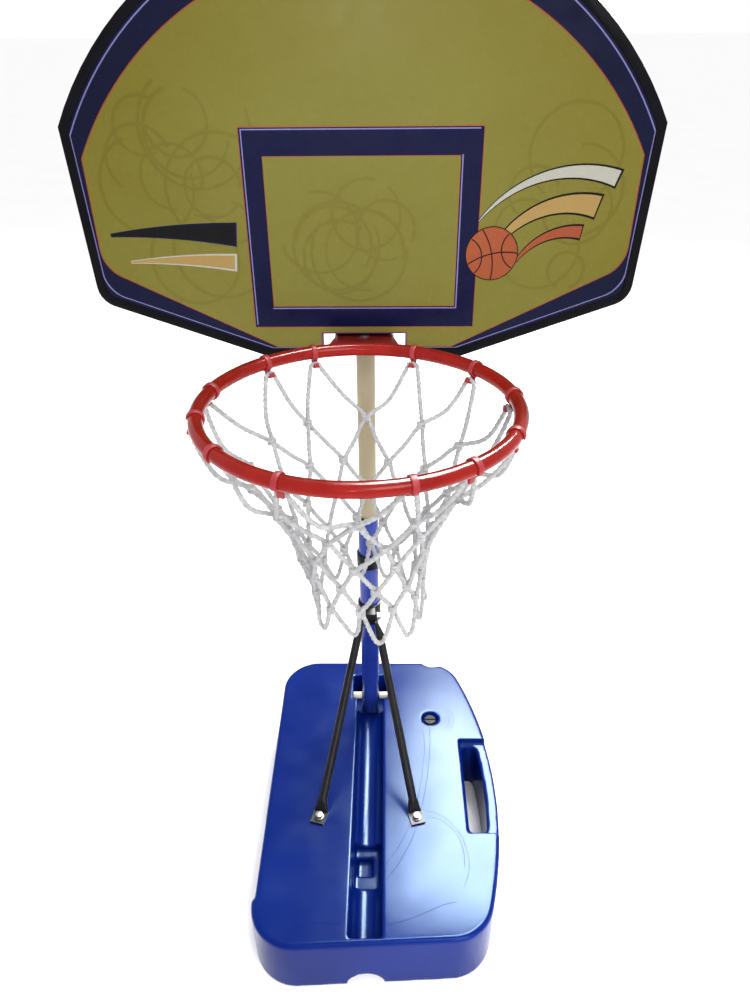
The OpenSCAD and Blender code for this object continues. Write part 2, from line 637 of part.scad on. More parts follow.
base_tank();
filler_plug();
filler_seal();
side_bumper();
pole_lower();
pole_shoe();
pivot_rod();
pivot_spacers();
pole_mouth();
lock_collar();
lock_nut();
lock_screw();
lock_knob();
lock_pad();
strut_clamp();
strut_left();
strut_right();
strut_bolt();
strut_bolt_nut();
strut_washers();
foot_bolts();
foot_washers();
foot_inserts();
pole_upper();
pole_glide();
pole_cap();
board_panel();
board_face();
board_trim();
board_bracket();
board_screws();
bracket_bolts();
bracket_nuts();
rim_ring();
rim_bracket();
rim_bolt();
rim_nut();
net_clips();
net();
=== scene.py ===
# %% [markdown]
# # A portable basketball hoop
# This lesson dresses the working model of a small hoop: a water-filled base, a two-part pole with
# struts, a fan-shaped board, a red ring and a corded net. The working model gives every place and
# size, so the first step loads it and notes its box.

# %% Load the working model
import json
import math
import random

import bmesh
import bpy
from mathutils import Matrix, Vector


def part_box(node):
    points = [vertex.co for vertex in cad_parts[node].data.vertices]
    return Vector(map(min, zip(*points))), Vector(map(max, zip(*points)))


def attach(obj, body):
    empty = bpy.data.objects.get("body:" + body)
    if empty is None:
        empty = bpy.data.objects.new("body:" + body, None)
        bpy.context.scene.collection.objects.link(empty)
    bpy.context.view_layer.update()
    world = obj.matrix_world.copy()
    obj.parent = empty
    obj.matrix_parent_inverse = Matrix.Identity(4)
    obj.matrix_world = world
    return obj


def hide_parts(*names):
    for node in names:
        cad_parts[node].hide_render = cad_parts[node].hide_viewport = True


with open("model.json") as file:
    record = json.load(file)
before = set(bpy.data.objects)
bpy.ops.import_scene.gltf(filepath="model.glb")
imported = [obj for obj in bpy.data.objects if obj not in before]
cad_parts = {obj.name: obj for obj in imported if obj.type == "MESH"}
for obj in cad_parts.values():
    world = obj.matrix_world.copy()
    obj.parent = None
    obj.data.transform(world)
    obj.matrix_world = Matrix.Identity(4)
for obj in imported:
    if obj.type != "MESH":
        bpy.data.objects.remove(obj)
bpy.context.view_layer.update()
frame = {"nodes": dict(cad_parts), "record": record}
bodies_of = {node: body for body, nodes in frame["record"]["behaviour"]["bodies"].items()
             for node in nodes}
slot_of = {part["node"]: part["material_slot"] for part in frame["record"]["subparts"]}
MM = 0.001

# %% [markdown]
# Every measure below is written in millimetres and turned into metres once. The main places come
# from the boxes of the working model's own nodes, so the looks can't drift away from it.

# %% Main places
ring_low, ring_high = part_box("rim_ring")
tank_low, tank_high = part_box("base_tank")
RIM = (ring_low + ring_high) / 2
RIM_TUBE = (ring_high.z - ring_low.z) / 2
RIM_R = (ring_high.x - ring_low.x) / 2 - RIM_TUBE
TOP = tank_high.z
FACE_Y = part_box("board_panel")[0].y
POLE_Y = sum(corner.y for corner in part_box("pole_lower")) / 2
print("ring centre", [round(c, 4) for c in RIM], "ring radius", round(RIM_R, 4))

# %% [markdown]
# The camera stands at a grown person's eye height in front of the hoop and looks down at it. Its
# turn is built from three angles, which keeps the numbers readable: how far it looks down, how
# far to the side, and how much it leans.

# %% Camera
LOOK_DOWN, LOOK_SIDE, LEAN = (math.radians(a) for a in (31.965, -1.015, -0.536))
forward = Vector((math.sin(LOOK_SIDE) * math.cos(LOOK_DOWN),
                  math.cos(LOOK_SIDE) * math.cos(LOOK_DOWN), -math.sin(LOOK_DOWN)))
level = Vector((math.cos(LOOK_SIDE), -math.sin(LOOK_SIDE), 0))
upright = level.cross(forward)
side = math.cos(LEAN) * level + math.sin(LEAN) * upright
head = -math.sin(LEAN) * level + math.cos(LEAN) * upright
camera = bpy.data.objects.new("camera", bpy.data.cameras.new("camera"))
bpy.context.scene.collection.objects.link(camera)
camera.matrix_world = Matrix((
    (side.x, head.x, -forward.x, 0.0343),
    (side.y, head.y, -forward.y, -0.9547),
    (side.z, head.z, -forward.z, 1.3615),
    (0, 0, 0, 1)))
camera.data.sensor_width = 36
camera.data.lens = 27.04
camera.data.clip_start = 0.05
bpy.context.scene.camera = camera
print("camera at", [round(c, 3) for c in camera.location])

# %% [markdown]
# The finishes share one recipe. A slow noise mottles the colour, a second one varies the gloss,
# and a fine one raises the grain. Each finish picks its own colours, scales and heights, so blown
# plastic, enamel and galvanised steel end up quite different from the same few nodes.

# %% Recipe for a finish
def add_node(tree, kind, **values):
    node = tree.nodes.new(kind)
    for name, value in values.items():
        setattr(node, name, value)
    return node


def noise_from(tree, place, scale, detail=3.0, stretch=None):
    """A noise on the piece's own coordinates, drawn out along an axis by stretch."""
    if stretch:
        mapping = add_node(tree, "ShaderNodeMapping")
        mapping.inputs["Scale"].default_value = stretch
        tree.links.new(place, mapping.inputs["Vector"])
        place = mapping.outputs["Vector"]
    noise = add_node(tree, "ShaderNodeTexNoise")
    noise.inputs["Scale"].default_value = scale
    noise.inputs["Detail"].default_value = detail
    tree.links.new(place, noise.inputs["Vector"])
    return noise.outputs["Fac"]


def spread(tree, value, low, high, start=0.3, end=0.7):
    """Maps a noise's middle range onto low..high."""
    ranged = add_node(tree, "ShaderNodeMapRange")
    for name, number in (("From Min", start), ("From Max", end), ("To Min", low), ("To Max", high)):
        ranged.inputs[name].default_value = number
    tree.links.new(value, ranged.inputs["Value"])
    return ranged.outputs["Result"]


def ramp(tree, value, stops):
    colours = add_node(tree, "ShaderNodeValToRGB")
    element = colours.color_ramp.elements
    while len(element) < len(stops):
        element.new(0.5)
    for slot, (place, colour) in zip(element, stops):
        slot.position, slot.color = place, (*colour, 1)
    tree.links.new(value, colours.inputs["Fac"])
    return colours.outputs["Color"]


def finish_of(name, dark, light, gloss, mottle=8.0, grain=None, wave=None, stretch=None,
              metallic=0.0, coat=0.0, specular=0.5, tint=(1, 1, 1)):
    """gloss is the roughness's (low, high); grain and wave are (scale, height in mm); tint colours
    what the finish mirrors."""
    material = bpy.data.materials.new(name)
    material.use_nodes = True
    tree = material.node_tree
    shader = tree.nodes["Principled BSDF"]
    shader.inputs["Metallic"].default_value = metallic
    shader.inputs["Coat Weight"].default_value = coat
    shader.inputs["Coat Roughness"].default_value = 0.12
    shader.inputs["Specular IOR Level"].default_value = specular
    shader.inputs["Specular Tint"].default_value = (*tint, 1)
    place = add_node(tree, "ShaderNodeTexCoord").outputs["Object"]
    mottled = noise_from(tree, place, mottle, 5.0, stretch)
    tree.links.new(ramp(tree, mottled, [(0.3, dark), (0.7, light)]), shader.inputs["Base Color"])
    tree.links.new(spread(tree, noise_from(tree, place, mottle * 3, 4.0, stretch), *gloss),
                   shader.inputs["Roughness"])
    normal = None
    for layer in (wave, grain):
        if layer:
            scale, height = layer
            bump = add_node(tree, "ShaderNodeBump")
            bump.inputs["Distance"].default_value = height * MM
            tree.links.new(noise_from(tree, place, scale, 2.0, stretch), bump.inputs["Height"])
            if normal:
                tree.links.new(normal, bump.inputs["Normal"])
            normal = bump.outputs["Normal"]
    if normal:
        tree.links.new(normal, shader.inputs["Normal"])
    return material


# %% [markdown]
# The blue of the base is blow-moulded polyethylene, slightly wavy, with a very fine grain.
# The tubes are enamelled steel, the struts black satin lacquer, the bolts dull zinc. The net is
# bleached nylon, which has hardly any shine.

# %% Finishes
tank_blue = finish_of("tank_blue", (0.0010, 0.0085, 0.105), (0.0018, 0.0135, 0.145), (0.16, 0.24),
                      mottle=5, grain=(1100, 0.03), wave=(7, 0.8), specular=0.10,
                      tint=(0.55, 0.80, 1.0))
plastic_black = finish_of("plastic_black", (0.004, 0.004, 0.005), (0.010, 0.010, 0.012),
                          (0.30, 0.44), mottle=40, grain=(1500, 0.12), specular=0.1)
rubber_black = finish_of("rubber_black", (0.006, 0.006, 0.006), (0.014, 0.014, 0.013),
                         (0.65, 0.85), mottle=60, grain=(1800, 0.2), specular=0.2)
pole_blue = finish_of("pole_blue", (0.012, 0.028, 0.210), (0.018, 0.044, 0.300), (0.16, 0.26),
                      mottle=12, grain=(420, 0.06), coat=0.1, specular=0.3)
pole_cream = finish_of("pole_cream", (0.28, 0.23, 0.14), (0.38, 0.33, 0.22), (0.30, 0.45),
                       mottle=18, grain=(500, 0.06), stretch=(1, 1, 0.25), specular=0.3)
steel_black = finish_of("steel_black", (0.004, 0.004, 0.005), (0.010, 0.010, 0.012),
                        (0.26, 0.38), mottle=25, grain=(700, 0.08), specular=0.12)
zinc_steel = finish_of("zinc_steel", (0.30, 0.30, 0.31), (0.55, 0.55, 0.53), (0.25, 0.48),
                       mottle=120, grain=(900, 0.08), metallic=1.0)
zinc_dark = finish_of("zinc_dark", (0.06, 0.06, 0.064), (0.16, 0.16, 0.16), (0.34, 0.52),
                      mottle=150, grain=(900, 0.08), metallic=1.0)
brass_insert = finish_of("brass_insert", (0.36, 0.24, 0.09), (0.55, 0.39, 0.16), (0.25, 0.42),
                         mottle=80, grain=(900, 0.05), metallic=1.0)
nylon_cream = finish_of("nylon_cream", (0.50, 0.46, 0.36), (0.66, 0.63, 0.52), (0.40, 0.55),
                        mottle=50, grain=(1200, 0.1), specular=0.3)
board_navy = finish_of("board_navy", (0.003, 0.004, 0.018), (0.006, 0.008, 0.030), (0.42, 0.58),
                       mottle=14, grain=(900, 0.15), specular=0.1)
trim_black = finish_of("trim_black", (0.002, 0.002, 0.003), (0.004, 0.004, 0.006), (0.30, 0.44),
                       mottle=20, grain=(500, 0.06), specular=0.06)
rim_red = finish_of("rim_red", (0.20, 0.005, 0.003), (0.29, 0.010, 0.006), (0.15, 0.25),
                    mottle=16, grain=(260, 0.10), coat=0.05, specular=0.13)
plate_red = finish_of("plate_red", (0.14, 0.008, 0.007), (0.22, 0.016, 0.013), (0.25, 0.42),
                      mottle=40, grain=(400, 0.12), specular=0.25)
clip_red = finish_of("clip_red", (0.27, 0.022, 0.026), (0.36, 0.042, 0.048), (0.36, 0.50),
                     mottle=60, grain=(900, 0.08), specular=0.14)
net_white = finish_of("net_white", (0.34, 0.34, 0.352), (0.52, 0.52, 0.525), (0.75, 0.92),
                      mottle=160, grain=(2600, 0.25), specular=0.2)
FINISH = {"tank_blue": tank_blue, "plastic_black": plastic_black, "rubber_black": rubber_black,
          "pole_blue": pole_blue, "pole_cream": pole_cream, "steel_black": steel_black,
          "zinc_steel": zinc_steel, "brass_insert": brass_insert, "nylon_cream": nylon_cream,
          "board_navy": board_navy, "board_print": board_navy, "trim_black": trim_black,
          "rim_red": rim_red, "clip_red": clip_red, "net_white": net_white}
print("finishes", len(bpy.data.materials))

# %% [markdown]
# Each new piece becomes an object at the origin with its place in its mesh. Its faces are shaded
# smooth, and only edges sharper than a set angle stay crisp.

# %% Turning a bmesh into a piece
def crisp_edges(bm, degrees):
    limit = math.radians(degrees)
    for face in bm.faces:
        face.smooth = True
    for edge in bm.edges:
        edge.smooth = edge.calc_face_angle(0) < limit


def make_object(name, bm, materials, degrees=32):
    crisp_edges(bm, degrees)
    mesh = bpy.data.meshes.new(name)
    bm.to_mesh(mesh)
    bm.free()
    for material in materials:
        mesh.materials.append(material)
    made = bpy.data.objects.new(name, mesh)
    bpy.context.scene.collection.objects.link(made)
    return made


def join_into(whole, part):
    """Adds a bmesh's faces to another one's and frees it."""
    holder = bpy.data.meshes.new("holder")
    part.to_mesh(holder)
    part.free()
    whole.from_mesh(holder)
    bpy.data.meshes.remove(holder)


def settle(piece, node, *others):
    """The piece stands for one or more nodes and moves with their body."""
    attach(piece, bodies_of[node])
    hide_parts(node, *others)
    print(piece.name, "faces", len(piece.data.polygons))
    return piece


# %% [markdown]
# The hardware's shapes are already right in the working model, but its triangles are loose and its
# edges knife-sharp. A copy is merged, its flat triangles are dissolved into whole faces, and its
# sharp edges get a small bevel, because that bright line along an edge is what the eye reads as a
# real turned or moulded part.

# %% Refining a copy of a node
def refined(node, edge_mm, segments=2, degrees=40, finish=None):
    bm = bmesh.new()
    bm.from_mesh(frame["nodes"][node].data)
    bmesh.ops.remove_doubles(bm, verts=bm.verts[:], dist=2e-6)
    bmesh.ops.dissolve_limit(bm, angle_limit=math.radians(0.6), verts=bm.verts[:],
                             edges=bm.edges[:], delimit={"NORMAL"})
    if edge_mm:
        sharp = [e for e in bm.edges if e.calc_face_angle(0) > math.radians(degrees)]
        bmesh.ops.bevel(bm, geom=sharp, offset=edge_mm * MM, offset_type="OFFSET",
                        segments=segments, profile=0.5, affect="EDGES", clamp_overlap=True,
                        material=-1)
    for face in bm.faces:
        face.material_index = 0
    piece = make_object("looks_" + node, bm, [finish or FINISH[slot_of[node]]])
    return settle(piece, node)


# %% Hardware, tubes and board mouldings
EDGES = {"filler_plug": 0.7, "filler_seal": 0.2, "side_bumper": 1.2, "pole_mouth": 0.6,
         "pole_shoe": 0, "lock_collar": 0.9, "lock_nut": 0.3, "lock_screw": 0.4, "lock_knob": 1.4,
         "lock_pad": 0.3, "strut_clamp": 0.9, "strut_bolt": 0.4, "strut_bolt_nut": 0.3,
         "strut_washers": 0.2, "foot_bolts": 0.4, "foot_washers": 0.2, "foot_inserts": 0,
         "pivot_rod": 0, "pivot_spacers": 0.3, "pole_lower": 0.3, "pole_upper": 0.3,
         "pole_glide": 0, "pole_cap": 0.9, "board_panel": 0, "board_trim": 0.8,
         "board_bracket": 0.5, "board_screws": 0.3, "bracket_bolts": 0.4, "bracket_nuts": 0.3,
         "rim_bolt": 0, "rim_nut": 0.3, "strut_left": 0, "strut_right": 0}
OWN_FINISH = {"filler_plug": rubber_black, "foot_bolts": zinc_dark, "foot_washers": zinc_dark,
              "foot_inserts": zinc_dark}
for node, edge_mm in EDGES.items():
    refined(node, edge_mm, finish=OWN_FINISH.get(node))
refined("rim_bracket", 0.6, finish=plate_red)

# %% [markdown]
# Outlines are drawn the way a turner would: a vertex is spun round a centre for each arc, and a
# plain edge joins one arc to the next. The closed line is then filled and extruded.

# %% Drawing an outline
def spin_on(bm, vertex, centre, degrees, steps):
    """Spins the line on from its last vertex, and returns the new last vertex."""
    spun = bmesh.ops.spin(bm, geom=[vertex], cent=centre, axis=(0, 0, 1), angle=math.radians(degrees),
                          steps=steps, use_duplicate=False)
    return next(g for g in spun["geom_last"] if isinstance(g, bmesh.types.BMVert))


def line_on(bm, vertex, point):
    end = bm.verts.new(point)
    bm.edges.new((vertex, end))
    return end


def fill_and_raise(bm, height):
    """Closes the outline, fills it and extrudes it along Z."""
    bmesh.ops.remove_doubles(bm, verts=bm.verts[:], dist=2e-5)
    face = bmesh.ops.contextual_create(bm, geom=bm.edges[:])["faces"]
    raised = bmesh.ops.extrude_face_region(bm, geom=face)["geom"]
    up = [g for g in raised if isinstance(g, bmesh.types.BMVert)]
    bmesh.ops.translate(bm, verts=up, vec=(0, 0, height))
    bmesh.ops.recalc_face_normals(bm, faces=bm.faces[:])
    return up


# %% [markdown]
# ## The base
# The real base is one blown shell, so nothing on it is sharp: every edge is as round as the hot
# plastic would follow the mould. It could be modelled face by face, but a quicker way gives the
# same softness everywhere. The body is extruded and rounded, the hollows are cut out of it, and
# the result is remeshed into small even faces and relaxed.

# %% Base body
CORNER = 76
FRONT_SKEW = math.degrees(math.atan(14 / 287))
BOW = (-599, -20, 845)
half_length = tank_high.y / MM
corner_y = half_length - CORNER
rear_angle = math.degrees(math.asin((corner_y - BOW[1]) / (BOW[2] - CORNER)))
front_angle = math.degrees(math.asin((14 - corner_y - BOW[1]) / (BOW[2] - CORNER)))


def on_bow(degrees, radius):
    return (BOW[0] + radius * math.cos(math.radians(degrees)),
            BOW[1] + radius * math.sin(math.radians(degrees)))


def base_body():
    left = tank_low.x / MM
    bm = bmesh.new()
    front_x = on_bow(front_angle, BOW[2] - CORNER)[0]
    rear_x = on_bow(rear_angle, BOW[2] - CORNER)[0]
    skew = math.radians(FRONT_SKEW - 90)
    first = bm.verts.new((left + 4.5, -corner_y + 8, 0))
    last = line_on(bm, first, (left, -corner_y + 3, 0))
    last = line_on(bm, last, (left, -corner_y, 0))
    last = spin_on(bm, last, (left + CORNER, -corner_y, 0), 90 + FRONT_SKEW, 16)
    last = line_on(bm, last, (front_x + CORNER * math.cos(skew),
                              14 - corner_y + CORNER * math.sin(skew), 0))
    last = spin_on(bm, last, (front_x, 14 - corner_y, 0), front_angle - FRONT_SKEW + 90, 12)
    last = spin_on(bm, last, (BOW[0], BOW[1], 0), rear_angle - front_angle, 30)
    last = spin_on(bm, last, (rear_x, corner_y, 0), 90 - rear_angle, 14)
    last = line_on(bm, last, (left + CORNER, half_length, 0))
    last = spin_on(bm, last, (left + CORNER, corner_y, 0), 87, 16)
    bm.edges.new((last, first))
    top = set(fill_and_raise(bm, TOP / MM))
    rim_edges = [e for e in bm.edges if e.verts[0] in top and e.verts[1] in top]
    foot_edges = [e for e in bm.edges if all(v.co.z < 1 for v in e.verts) and len(e.link_faces) == 2]
    bmesh.ops.bevel(bm, geom=rim_edges, offset=30, offset_type="OFFSET", segments=9, profile=0.5,
                    affect="EDGES", clamp_overlap=True, material=-1)
    bmesh.ops.bevel(bm, geom=foot_edges, offset=5, offset_type="OFFSET", segments=3, profile=0.5,
                    affect="EDGES", clamp_overlap=True, material=-1)
    bmesh.ops.scale(bm, verts=bm.verts[:], vec=(MM, MM, MM))
    return make_object("base_body", bm, [tank_blue])


# %% Cutters for the base's hollows
def block(low, high, soft=0.0):
    """A block between two corners, in millimetres, with its edges rounded by soft."""
    bm = bmesh.new()
    size = [h - l for l, h in zip(low, high)]
    middle = [(h + l) / 2 for l, h in zip(low, high)]
    bmesh.ops.create_cube(bm, size=1, matrix=Matrix.Translation(middle) @ Matrix.Diagonal((*size, 1)))
    if soft:
        bmesh.ops.bevel(bm, geom=bm.edges[:], offset=soft, offset_type="OFFSET", segments=3,
                        profile=0.5, affect="EDGES", clamp_overlap=True, material=-1)
    return bm


def rod(radius, start, end, steps=48):
    """A round bar between two points, in millimetres."""
    bm = bmesh.new()
    way = Vector(end) - Vector(start)
    turn = way.to_track_quat("Z", "Y").to_matrix().to_4x4()
    bmesh.ops.create_cone(bm, cap_ends=True, segments=steps, radius1=radius, radius2=radius,
                          depth=way.length,
                          matrix=Matrix.Translation((Vector(start) + Vector(end)) / 2) @ turn)
    return bm


def handle_cutter():
    bm = bmesh.new()
    inner, low_y, high_y, radius = 188, -106, 90, BOW[2] - 22
    angle = [math.degrees(math.asin((y - BOW[1]) / radius)) for y in (low_y, high_y)]
    first = bm.verts.new((inner, low_y, -5))
    last = line_on(bm, first, (*on_bow(angle[0], radius), -5))
    last = spin_on(bm, last, (BOW[0], BOW[1], 0), angle[1] - angle[0], 14)
    last = line_on(bm, last, (inner, high_y, -5))
    bm.edges.new((last, first))
    fill_and_raise(bm, 140)
    upright_edges = [e for e in bm.edges if abs(e.verts[0].co.z - e.verts[1].co.z) > 100
                     and e.calc_face_angle(0) > math.radians(30)]
    bmesh.ops.bevel(bm, geom=upright_edges, offset=11, offset_type="OFFSET", segments=5,
                    profile=0.5, affect="EDGES", clamp_overlap=True, material=-1)
    return bm


GROOVE_R = 28
GROOVE_DEEP = 53
ABOVE = 160  # a height well above the base, where every cutter from the top ends
front_y = -half_length
groove_y = front_y + 18
pocket_y = POLE_Y / MM - 22
floor_z = TOP / MM - GROOVE_DEEP
filler = [(c[0] + c[1]) / 2 / MM for c in zip(*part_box("filler_plug"))]
cutters = {
    "groove_round": rod(GROOVE_R, (0, groove_y, floor_z + GROOVE_R),
                        (0, pocket_y + 1, floor_z + GROOVE_R)),
    "groove_slot": block((-GROOVE_R, groove_y, floor_z + GROOVE_R),
                         (GROOVE_R, pocket_y + 1, ABOVE)),
    "foot_pocket": block((-38, pocket_y, floor_z), (38, pocket_y + 69, ABOVE), 2),
    "floor_step": block((-24, -190, floor_z - 10), (24, -110, floor_z + 30), 2),
    "floor_step_deep": block((-20, -160, floor_z - 24), (10, -126, floor_z + 30), 2),
    "hand_hole": handle_cutter(),
    "hand_recess": block((182, -114, TOP / MM - 14), (300, 98, ABOVE), 5),
    "front_arch": rod(31, (0, front_y - 1, 0), (0, front_y + 70, 0)),
    "rear_scoop": rod(27, (140, half_length + 12, -5), (140, half_length + 12, ABOVE)),
    "filler_recess": rod(17, (filler[0], filler[1], TOP / MM - 12),
                         (filler[0], filler[1], ABOVE)),
}
print("hollows", len(cutters))

# %% Cutting, remeshing and relaxing the base
REMESH_MM = 2.6
body = base_body()
tools = []
for name, bm in cutters.items():
    bmesh.ops.scale(bm, verts=bm.verts[:], vec=(MM, MM, MM))
    tool = make_object("tool_" + name, bm, [])
    tools.append(tool)
    cut = body.modifiers.new(name, "BOOLEAN")
    cut.operation, cut.object, cut.solver = "DIFFERENCE", tool, "EXACT"
remesh = body.modifiers.new("even_faces", "REMESH")
remesh.mode, remesh.voxel_size = "VOXEL", REMESH_MM * MM
relax = body.modifiers.new("relax", "SMOOTH")
relax.factor, relax.iterations = 0.5, 7
thin = body.modifiers.new("thin", "DECIMATE")
thin.ratio = 0.55
bpy.context.view_layer.update()
baked = bpy.data.meshes.new_from_object(body.evaluated_get(bpy.context.evaluated_depsgraph_get()))
for done in [body, *tools]:
    bpy.data.objects.remove(done)
bm = bmesh.new()
bm.from_mesh(baked)
bpy.data.meshes.remove(baked)
settle(make_object("base_shell", bm, [tank_blue], degrees=60), "base_tank")

# %% [markdown]
# Thin curved lines are moulded into the base's top, between the groove and the handle and round the
# filler. They stand a fraction of a millimetre proud, so they are swept as fine round wires that
# are mostly sunk in the surface and only catch the light. Each keeps clear of the filler, so that
# its plug can turn and rise.

# %% Sweeping a line into a round wire
def wire(name, lines, radius, sides=4, cyclic=False, tilt_per_metre=0.0, profile=None):
    """A mesh swept along lines of points. Each line is a list of points in metres."""
    curve = bpy.data.curves.new(name, "CURVE")
    curve.dimensions, curve.twist_mode = "3D", "MINIMUM"
    curve.use_fill_caps = True
    if profile:
        curve.bevel_mode, curve.bevel_object = "OBJECT", profile
    else:
        curve.bevel_depth, curve.bevel_resolution = radius, sides // 2
    for line in lines:
        spline = curve.splines.new("POLY")
        spline.points.add(len(line) - 1)
        run = 0.0
        for point, place, before in zip(spline.points, line, [line[0]] + list(line)):
            run += (Vector(place) - Vector(before)).length
            point.co, point.tilt = (*place, 1), run * tilt_per_metre
        spline.use_cyclic_u = cyclic
    swept = bpy.data.objects.new(name, curve)
    bpy.context.scene.collection.objects.link(swept)
    bpy.context.view_layer.update()
    mesh = bpy.data.meshes.new_from_object(
        swept.evaluated_get(bpy.context.evaluated_depsgraph_get()))
    bpy.data.objects.remove(swept)
    bm = bmesh.new()
    bm.from_mesh(mesh)
    bpy.data.meshes.remove(mesh)
    for face in bm.faces:
        face.material_index = 0
    return bm


def smooth_line(points, gap=2.6):
    """A Catmull-Rom line through points, with a point about every gap millimetres."""
    padded = [points[0] * 2 - points[1]] + points + [points[-1] * 2 - points[-2]]
    line = []
    for p0, p1, p2, p3 in zip(padded, padded[1:], padded[2:], padded[3:]):
        steps = max(2, round((p2 - p1).length / (gap * MM)))
        for k in range(steps):
            t = k / steps
            line.append(0.5 * (2 * p1 + (p2 - p0) * t + (2 * p0 - 5 * p1 + 4 * p2 - p3) * t * t
                               + (3 * p1 - p0 - 3 * p2 + p3) * t ** 3))
    return line + [points[-1]]


# %% Moulded lines on the base
LINE_R = 1.5
LINE_SUNK = 1.35
line_z = TOP / MM - LINE_SUNK
DRAWN = [
    [(92, 232), (104, 216), (113, 198), (119, 180)],
    [(124, 128), (124, 90), (118, 30), (108, -30), (96, -80), (84, -120), (62, -165), (36, -205)],
    [(110, 124), (112, 84), (107, 30), (98, -26), (86, -76), (70, -116), (52, -150), (34, -178)],
    [(150, 184), (166, 178), (176, 160), (176, 138), (164, 118)],
    [(154, 176), (163, 170), (168, 156), (167, 140), (158, 124)],
    [(104, -70), (128, -76), (150, -92), (168, -118), (178, -152), (178, -186), (168, -214)],
    [(112, -82), (134, -89), (152, -104), (166, -128), (172, -156), (170, -184)],
    [(36, -281), (66, -275), (98, -262), (128, -249), (152, -243)],
    [(-150, -255), (-126, -268), (-94, -277), (-62, -281), (-42, -282)],
]
moulded_lines = [smooth_line([Vector((x, y, line_z)) * MM for x, y in points], gap=5)
                 for points in DRAWN]
line_mesh = wire("base_lines", moulded_lines, LINE_R * MM)
lines = make_object("base_lines", line_mesh, [tank_blue])
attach(lines, "base")
print("moulded lines", len(moulded_lines))

# %% [markdown]
# ## The printed board
# The board is a moulded panel with a printed sheet in its front and a black edge trim. Flat colours
# with clean borders are modelled as thin sheets laid on each other, a tenth of a millimetre apart,
# like the passes of a screen print. The big layers are all one fan shape, with a notch for the
# ring's plate, and each has its own sizes.

# %% Inks
def printed(name, colours, centre_z=1.13):
    """An ink that deepens towards the board's edge. colours are for the middle and the edge."""
    material = bpy.data.materials.new(name)
    material.use_nodes = True
    tree = material.node_tree
    shader = tree.nodes["Principled BSDF"]
    shader.inputs["Specular IOR Level"].default_value = 0.12
    place = add_node(tree, "ShaderNodeTexCoord").outputs["Object"]
    mapping = add_node(tree, "ShaderNodeMapping")
    mapping.inputs["Location"].default_value = (0, 0, -centre_z)
    tree.links.new(place, mapping.inputs["Vector"])
    away = add_node(tree, "ShaderNodeVectorMath", operation="LENGTH")
    tree.links.new(mapping.outputs["Vector"], away.inputs[0])
    middle, edge = colours
    reach = spread(tree, away.outputs["Value"], 0.0, 1.0, 0.20, 0.46)
    mottled = add_node(tree, "ShaderNodeMath", operation="ADD")
    tree.links.new(reach, mottled.inputs[0])
    tree.links.new(spread(tree, noise_from(tree, place, 5, 4.0), -0.22, 0.22), mottled.inputs[1])
    base = ramp(tree, mottled.outputs["Value"], [(0.0, middle), (1.0, edge)])
    tree.links.new(base, shader.inputs["Base Color"])
    tree.links.new(spread(tree, noise_from(tree, place, 30, 3.0), 0.22, 0.34),
                   shader.inputs["Roughness"])
    bump = add_node(tree, "ShaderNodeBump")
    bump.inputs["Distance"].default_value = 0.25 * MM
    tree.links.new(noise_from(tree, place, 60, 2.0), bump.inputs["Height"])
    tree.links.new(bump.outputs["Normal"], shader.inputs["Normal"])
    return material


ink_field = printed("ink_field", ((0.156, 0.142, 0.029), (0.128, 0.108, 0.014)))
ink_navy = printed("ink_navy", ((0.004, 0.005, 0.030), (0.002, 0.003, 0.018)))
ink_lilac = printed("ink_lilac", ((0.17, 0.16, 0.34), (0.13, 0.12, 0.28)))
ink_cream = printed("ink_cream", ((0.30, 0.20, 0.07), (0.26, 0.16, 0.05)))
ink_black = printed("ink_black", ((0.004, 0.004, 0.005), (0.003, 0.003, 0.004)))
ink_white = printed("ink_white", ((0.34, 0.34, 0.30), (0.30, 0.29, 0.24)))
ink_orange = printed("ink_orange", ((0.28, 0.070, 0.028), (0.20, 0.040, 0.016)))
ink_loop = printed("ink_loop", ((0.139, 0.124, 0.024), (0.112, 0.092, 0.011)))
INKS = [ink_navy, ink_lilac, ink_cream, ink_field, ink_black, ink_white, ink_orange, ink_loop]

# %% Fan-shaped and rectangular sheets
SHEET = 0.12


def stand_up(bm, layer):
    """Turns a flat sheet upright, onto the board's front, at its place in the print's stack."""
    front = FACE_Y - (0.5 + SHEET * (layer + 1)) * MM
    place = Matrix(((MM, 0, 0, 0), (0, 0, MM, front), (0, MM, 0, RIM.z), (0, 0, 0, 1)))
    bmesh.ops.transform(bm, matrix=place, verts=bm.verts[:])
    bmesh.ops.recalc_face_normals(bm, faces=bm.faces[:])


def fan(arc_r, arc_up, wide_up, corner, low, notch, soft=26):
    """The board's outline: a notched foot, slanting lower sides, round corners, a domed top. All
    places are (right, up) in millimetres from the ring's centre."""
    bm = bmesh.new()
    wide_angle = math.degrees(math.asin((wide_up - arc_up) / arc_r))
    wide_x = arc_r * math.cos(math.radians(wide_angle))
    first = bm.verts.new((low[0], low[1], 0))
    corner_right = line_on(bm, first, (corner[0], corner[1], 0))
    last = line_on(bm, corner_right, (wide_x, wide_up, 0))
    last = spin_on(bm, last, (0, arc_up, 0), 180 - 2 * wide_angle, 60)
    corner_left = line_on(bm, last, (-corner[0], corner[1], 0))
    last = line_on(bm, corner_left, (-low[0], low[1], 0))
    last = line_on(bm, last, (-notch[0], low[1], 0))
    last = line_on(bm, last, (-notch[0], notch[1], 0))
    last = line_on(bm, last, (notch[0], notch[1], 0))
    last = line_on(bm, last, (notch[0], low[1], 0))
    bm.edges.new((last, first))
    bmesh.ops.bevel(bm, geom=[corner_left, corner_right], offset=soft, offset_type="OFFSET",
                    segments=8, profile=0.5, affect="VERTICES", clamp_overlap=True, material=-1)
    return bm


